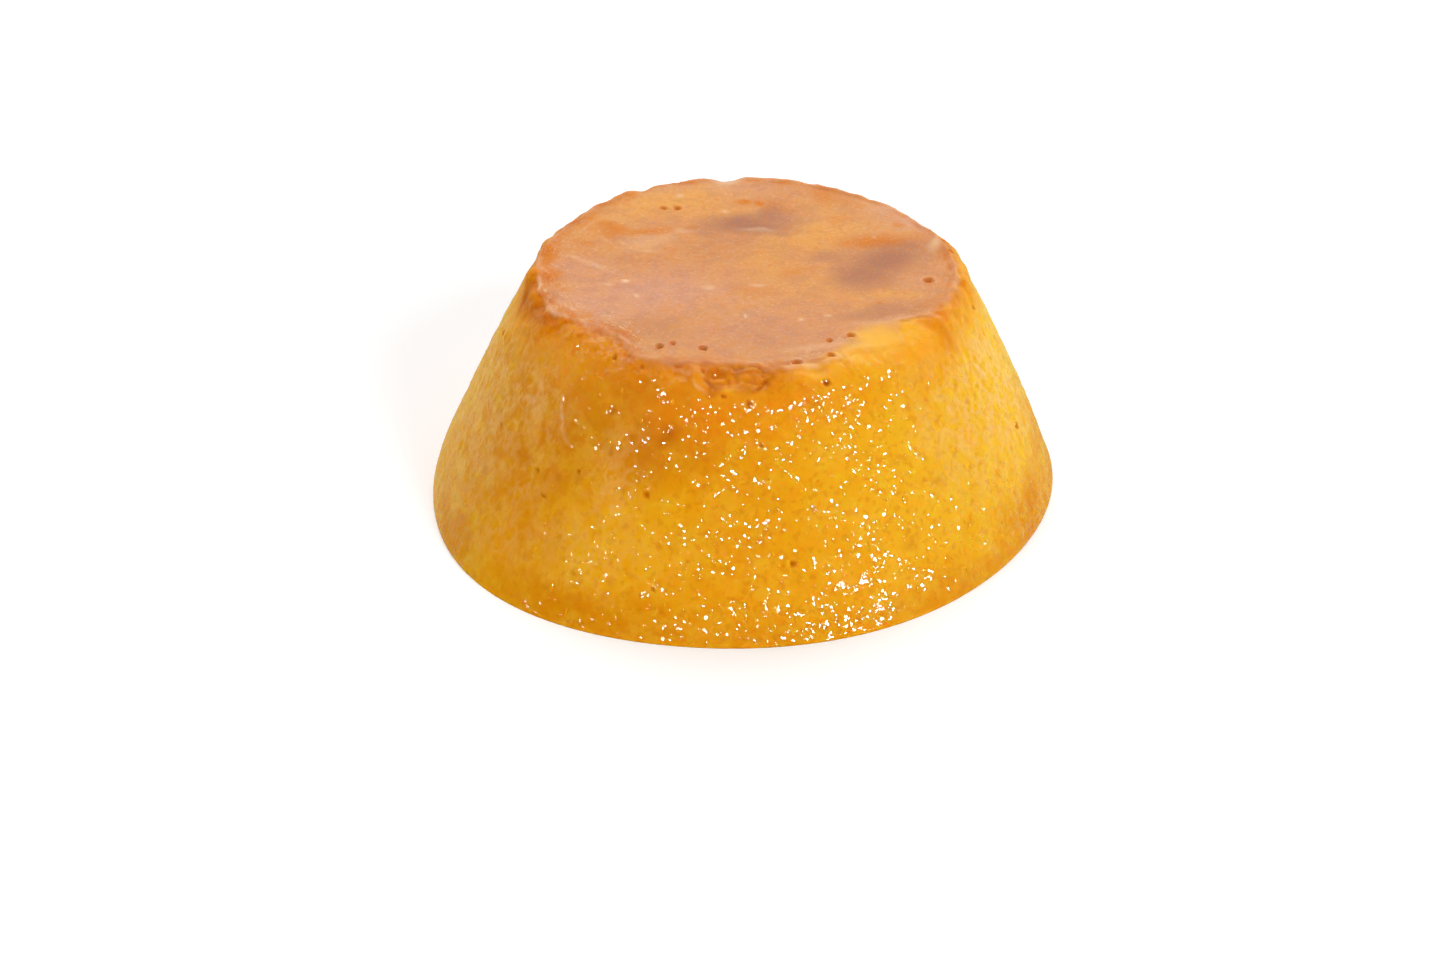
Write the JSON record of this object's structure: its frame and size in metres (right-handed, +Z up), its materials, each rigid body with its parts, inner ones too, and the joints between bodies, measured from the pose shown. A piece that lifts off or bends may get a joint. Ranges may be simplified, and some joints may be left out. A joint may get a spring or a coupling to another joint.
{
  "type": "caramel pudding",
  "caption": "Individual baked egg custard turned out of a sloping mould, caramel side up, with a stained top, soft shoulder and bubbled wet wall.",
  "frame": {"origin": "middle of the flat wide face that the pudding stands on", "axes": "+Z up through the stained top; -Y out of the side with the torn patch on the rim, which faces the viewer; +X to the viewer's right"},
  "size_m": [0.0832, 0.0842, 0.0318],
  "materials": {
    "custard": "wet set egg custard, golden yellow, stained amber brown by caramel on its top",
    "caramel_syrup": "thin clear amber caramel syrup, wet and glossy"
  },
  "bodies": {
    "root": {"custard": "custard"}
  },
  "joints": []
}
